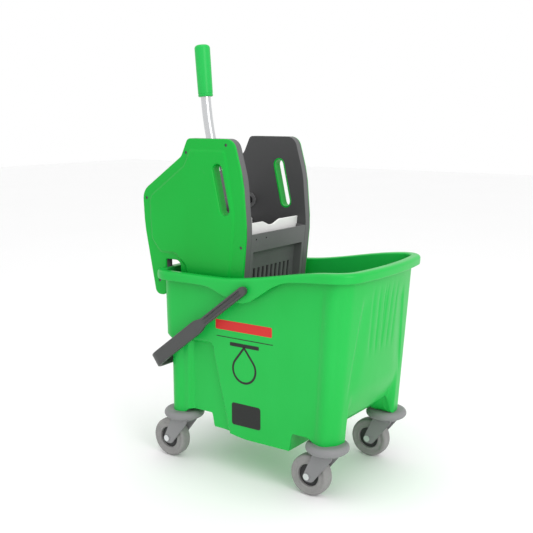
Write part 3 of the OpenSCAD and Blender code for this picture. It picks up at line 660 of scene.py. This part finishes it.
cheek = dict(
    outline=[(-134, 616, 10), (-149.5, 583, 16), (-246.5, 515, 30), (-243, 450, 160), (-217, 317, 13),
             (-190.5, 317, 12), (-190.5, 388, 3), (-155, 388, 12), (-150, 260, 5), (-19, 260, 5),
             (-0.5, 452, 150), (-8, 545, 150), (-28, 616, 22)],
    field=[(-128, 598, 7), (-45, 598, 10), (-24, 480, 100), (-46, 266, 9), (-140, 266, 9), (-142, 378, 14),
           (-166, 398, 16), (-204, 398, 16), (-226, 424, 24), (-230, 506, 22), (-143, 568, 16)],
    screws=[(-45, 605), (-137, 590), (-236, 502), (-13, 424), (-207, 345)],
    slot=((-64, 561), (-48, 490)), slotRadius=10.0, liner=3.0, slotRound=4.6,
    screwRadius=2.9, edge=2.4, slope=6.5, lift=3.0, thick=3.5,
)
throatSide = boxOf("front_panel")[1][1]
cheekTop = boxOf("side_cover_left")[1][1]
cheekFlat = cheekTop - cheek["lift"]
cheekInner = cheekFlat - cheek["thick"]


def circle(x, z, radius, count=28):
    turn = np.linspace(0, 2 * np.pi, count, endpoint=False)
    return np.column_stack([x + radius * np.cos(turn), z + radius * np.sin(turn)])


def slotLoop(radius, count=24):  # the hand slot: two half rounds joined by straights
    top, bottom = (np.array(p, float) for p in cheek["slot"])
    lean = (top - bottom) / np.linalg.norm(top - bottom)
    across = np.array([lean[1], -lean[0]])
    turn = np.linspace(0, np.pi, count)[:, None]
    upper = top + radius * (np.cos(turn) * across + np.sin(turn) * lean)
    lower = bottom - radius * (np.cos(turn) * across + np.sin(turn) * lean)
    return np.vstack([upper, lower])


def buildCheek(sign):
    # A flat band with its screw holes, a raised field with sloping sides, and the lined slot
    place = upright(sign)
    slotRadius, liner = cheek["slotRadius"], cheek["liner"]
    holes = [circle(x, z, cheek["screwRadius"]) for x, z in cheek["screws"]] + [slotLoop(slotRadius + 2)]
    outline = roundCorners(cheek["outline"], 6)
    band = plate(outline, holes, cheekInner, cheekFlat, cheek["edge"], place, 0.5)
    field = roundCorners(cheek["field"], 6)
    slope = [level(field, cheekFlat - 1.0)]
    for ease in np.linspace(0, 1, 8):
        height = cheekFlat + cheek["lift"] * smooth(ease, 0, 1)
        slope.append(level(shrink(field, cheek["slope"] * ease), height))
    mouth = [level(slotLoop(slotRadius), throatSide)]
    for inset, drop in quarter(cheek["slotRound"], 7):
        mouth.append(level(slotLoop(slotRadius + inset), cheekTop - drop))
    steps = [(0.0, throatSide), (0.6, throatSide - 0.2), (liner - 0.6, throatSide - 0.2),
             (liner, throatSide + 0.4), (liner, cheekInner + 1)]
    lining = [level(slotLoop(slotRadius + out), height) for out, height in steps]
    points, faces = together(skin(slope), skin(mouth), fill([slope[-1], mouth[-1]]), skin(lining),
                             fill([slope[0], lining[-1]]))
    return together(band, (place(points), faces))


def addCheeks():
    for side, sign in sides.items():
        addPiece("cheek_" + side, *buildCheek(sign), coverPlastic, "wringer", "green_moulding",
                 ["side_cover_" + side], flat=True)


pinLow, pinHigh = boxOf("bail_pins")
bailHalf = boxOf("bail_handle")[1][1]
bail = dict(
    angle=37.4, thick=8.5, width=16.0, gripWidth=26.0, gripStart=116.0, reach=271.0, corner=21.7,
    groove=3.4, channel=4.6, lip=3.4, edge=2.2,
)
pivotX, pivotZ = (pinLow[0] + pinHigh[0]) / 2, (pinLow[2] + pinHigh[2]) / 2
bailRest = pivotZ - (bail["reach"] - bail["thick"]) * math.sin(math.radians(bail["angle"]))


def bailSection(width, groove, channel):
    # One ring across the bail, as (out, across): rounded edges, a groove outside and a channel inside
    t, w, e = bail["thick"] / 2, width / 2, bail["edge"]
    g = w - bail["lip"]
    turns = np.array([0.25, 0.5, 0.75]) * np.pi / 2
    corner = [(t - e * (1 - math.sin(turn)), w - e + e * math.cos(turn)) for turn in turns]
    ring = []
    for way, depth in ((1, groove), (-1, channel)):
        half = corner + [(t, w - e), (t, g + 0.7), (t - 0.3, g), (t - depth * 0.5, g - 0.6),
                         (t - depth, g - 1.4), (t - depth, g / 2)]
        ring += [(way * out, -way * across) for out, across in half]
        ring += [(way * out, way * across) for out, across in half[::-1]]
    return np.array(ring)


def bailLine():
    # (along, across, turn) of a U: an arm, a rounded corner, the grip bar, a corner and the other arm
    half = bailHalf - bail["thick"] / 2
    reach, corner, end = bail["reach"] - bail["thick"] / 2, bail["corner"], bail["width"] / 2
    tip = -end * np.cos(np.linspace(0, np.pi / 2, 8))
    arm = np.concatenate([tip, np.linspace(3, 104, 20), np.linspace(106, 140, 18),
                          np.linspace(146, reach - corner, 14)])
    turn = np.linspace(0, np.pi / 2, 12)[1:-1]
    bar = np.linspace(half - corner, 0, 20)
    along = np.concatenate([arm, reach - corner + corner * np.sin(turn), np.full(len(bar), reach)])
    across = np.concatenate([np.full(len(arm), half), half - corner + corner * np.cos(turn), bar])
    turned = np.concatenate([np.zeros(len(arm)), turn, np.full(len(bar), np.pi / 2)])
    mirrored = [along[-2::-1], -across[-2::-1], np.pi - turned[-2::-1]]
    return np.stack([np.concatenate(pair) for pair in zip((along, across, turned), mirrored)], axis=-1)


def buildBail():
    # The section carried along the U. The groove fades out where the arm widens into the strap
    lean = math.radians(bail["angle"])
    start, end = bail["gripStart"], bail["width"] / 2
    rings = []
    for along, across, turned in bailLine():
        width = bail["width"] + (bail["gripWidth"] - bail["width"]) * smooth(along, start - 8, start + 14)
        groove = bail["groove"] * (1 - smooth(along, start - 16, start)) * smooth(along, 2, 8)
        section = bailSection(width, groove, bail["channel"] * smooth(along, 150, 166))
        roundEnd = math.sqrt(max(0.04, 1 - min(0.0, along / end) ** 2))
        flatU = along + section[:, 0] * math.sin(turned)
        flatV = across + section[:, 0] * math.cos(turned)
        rise = section[:, 1] * roundEnd
        rings.append(np.column_stack([pivotX - flatU * math.cos(lean) - rise * math.sin(lean), flatV,
                                      pivotZ - flatU * math.sin(lean) + rise * math.cos(lean)]))
    return joinRings(np.array(rings))


def addBail():
    addPiece("bail_strap", *buildBail(), bailPlastic, "bail", "grey_moulding", ["bail_handle"], sharp=40)
    addPiece("bail_rest_pads", *restPads(), greenPlastic, "bucket", "green_moulding")


shaftLow, shaftHigh = boxOf("cross_shaft")
shaftX, shaftZ = (shaftLow[0] + shaftHigh[0]) / 2, (shaftLow[2] + shaftHigh[2]) / 2
lever = dict(
    lean=math.radians(12.5), bend=math.radians(8.0), bendRadius=560.0, straight=130.0, tube=9.5, socket=16.0,
    grip=98.0, gripLow=14.3, gripHigh=15.0, gripEnd=7.0, bead=0.5,
)
bendLength = lever["bendRadius"] * lever["bend"]
gripStart = lever["straight"] + bendLength


def leverLine(s):
    # Centre and lean at length s from the shaft: straight, a gentle bend forwards, and straight again
    lean, radius = lever["lean"], lever["bendRadius"]
    bend = lever["bend"] * np.clip((s - lever["straight"]) / bendLength, 0, 1)
    rest = np.maximum(0, s - gripStart)
    x = radius * (1 - np.cos(bend)) + rest * np.sin(bend)
    z = np.minimum(s, lever["straight"]) + radius * np.sin(bend) + rest * np.cos(bend)
    centre = np.column_stack([shaftX + x * math.cos(lean) - z * math.sin(lean), 0 * s,
                              shaftZ + x * math.sin(lean) + z * math.cos(lean)])
    return centre, lean - bend


def alongLever(s, radius, segments):  # a round section of varying radius carried along the lever's line
    centre, lean = leverLine(s)
    turn = np.linspace(0, 2 * np.pi, segments, endpoint=False)[None, :, None]
    side = np.column_stack([np.cos(lean), 0 * lean, np.sin(lean)])[:, None]
    spoke = np.cos(turn) * side + np.sin(turn) * np.array([0.0, 1.0, 0.0])
    return joinRings(centre[:, None] + radius[:, None, None] * spoke)


def addLever():
    s = np.linspace(lever["socket"], gripStart + 6, 60)
    tube = alongLever(s, np.full(60, lever["tube"]), 48)
    addPiece("lever_bent_tube", *tube, chromeSteel, "lever", "lever_steel", ["lever_tube"])
    length, low, high, bead = lever["grip"], lever["gripLow"], lever["gripHigh"], lever["bead"]
    stations = [(0.0, lever["tube"] + 0.1), (0.0, low - 1.6), (0.5, low - bead), (1.6, low), (4.2, low),
                (4.8, low - bead), (5.8, low - bead), (6.4, low), (30, low + 0.25), (60, low + 0.5)]
    stations += [(length - drop, high - inset) for inset, drop in quarter(lever["gripEnd"], 8)]
    stations.append((length, high - 11.0))
    s, radius = np.array(stations).T
    grip = alongLever(gripStart + s, radius, 64)
    addPiece("lever_hand_grip", *grip, gripPlastic, "lever", "green_grip", ["lever_grip"])


castor = dict(tread=4.5, hubRadius=20.0, grooveLow=24.0, grooveHigh=30.4, groove=0.5)


def tyreProfile(radius, half):  # half the width from the hub, out over the face and shoulder, and its mirror
    hub, deep, tread = castor["hubRadius"], half - castor["groove"], castor["tread"]
    low, high = castor["grooveLow"], castor["grooveHigh"]
    outer = [(half - 1.6, hub), (deep, hub + 0.6), (half, hub + 2.0), (half, low), (deep, low + 0.8),
             (deep, high - 0.8), (half, high)]
    outer += [(half - tread * (1 - math.cos(turn)), radius - 0.5 - tread * (1 - math.sin(turn)))
              for turn in np.linspace(0, np.pi / 2, 6)]
    outer.append((half - 7.5, radius - 0.15))
    return outer + [(0.0, radius)] + [(-y, r) for y, r in outer[::-1]]


def addTyre(corner):
    low, high = boxOf("castor_tyre" + corner)
    radius, half = (high[2] - low[2]) / 2, (high[1] - low[1]) / 2
    tyre = revolve(tyreProfile(radius, half), (low + high) / 2, 112)
    addPiece("tyre" + corner, *tyre, tyreRubber, "wheel" + corner, "castor_tyre", ["castor_tyre" + corner])


def addSoftened():
    softened("front_panel", greyPlastic, 1.0)
    softened("sieve_plate", sievePlastic, 0.6)
    softened("back_panel", greyPlastic, 0.8)
    softened("press_plate", palePlastic, 0.8)
    softened("lever_hub", greyPlastic, 1.0)
    for side in sides:
        softened("side_frame_" + side, framePlastic, 0.9)
    for corner in corners:
        softened("castor_fork" + corner, castorPlastic, 0.9)


corners = ["_%s_%s" % (end, side) for end in ends for side in sides]
addCheeks()
addMarks()
addBail()
addLever()
for corner in corners:
    addTyre(corner)
print("pieces made")
addSoftened()
print("softened pieces made")


def addFloor():
    mesh = bpy.data.meshes.new("floor")
    mesh.from_pydata([(-8, -8, 0), (8, -8, 0), (8, 8, 0), (-8, 8, 0)], [], [(0, 1, 2, 3)])
    floor = bpy.data.objects.new("floor", mesh)
    bpy.context.scene.collection.objects.link(floor)
    s = Shader("paleFloor", Roughness=0.7, Specular_IOR_Level=0.2)
    tone = s.mix(s.noise(1.5, 2.0), (0.97, 0.97, 0.97, 1), (0.95, 0.95, 0.95, 1))
    mesh.materials.append(s.finish(Base_Color=tone))


def addLight(name, place, aim, size, power):
    light = bpy.data.lights.new(name, "AREA")
    light.shape = "RECTANGLE"
    light.size, light.size_y = size
    light.energy = power
    lamp = bpy.data.objects.new(name, light)
    lamp.location = place
    lamp.rotation_euler = (Vector(aim) - Vector(place)).to_track_quat("-Z", "Y").to_euler()
    bpy.context.scene.collection.objects.link(lamp)


view = dict(lens=58.76, sensorWidth=36.0, place=(0.9015, -1.338, 0.661), tilt=80.0, turn=34.9)


def addCamera():
    camera = bpy.data.cameras.new("camera")
    camera.lens, camera.sensor_width = view["lens"], view["sensorWidth"]
    viewer = bpy.data.objects.new("camera", camera)
    viewer.location = view["place"]
    viewer.rotation_euler = (math.radians(view["tilt"]), 0, math.radians(view["turn"]))
    bpy.context.scene.collection.objects.link(viewer)
    bpy.context.scene.camera = viewer


addFloor()
addLight("key", (2.2, -1.0, 1.3), (0, 0, 0.3), (0.9, 1.2), 18)
addLight("top", (0.1, -0.3, 2.3), (0, 0, 0.3), (1.4, 1.4), 8)
world = bpy.data.worlds.new("studio")
world.use_nodes = True
world.node_tree.nodes["Background"].inputs["Color"].default_value = (1, 1, 1, 1)
world.node_tree.nodes["Background"].inputs["Strength"].default_value = 1.0
bpy.context.scene.world = world
bpy.context.scene.view_settings.view_transform = "Standard"
addCamera()
print("floor, lights and camera ready")

# The CAD nodes that are seen as they are, each with its material
kept = {"drain_floor": greyPlastic, "cross_shaft": blackSteel, "lever_bolt": zincSteel,
        "bail_pins": bailPlastic}
for side in sides:
    kept.update({"cover_screws_" + side: blackSteel, "shaft_bush_" + side: greyPlastic,
                 "gear_sector_" + side: greyPlastic, "rack_" + side: palePlastic})
for corner in corners:
    kept.update({"castor_bumper" + corner: castorPlastic, "castor_stem" + corner: zincSteel,
                 "castor_axle" + corner: zincSteel, "castor_hub" + corner: hubPaintedShade})
for node, material in kept.items():
    cadMesh = frame["nodes"][node].data
    cadMesh.materials.clear()
    cadMesh.materials.append(material)
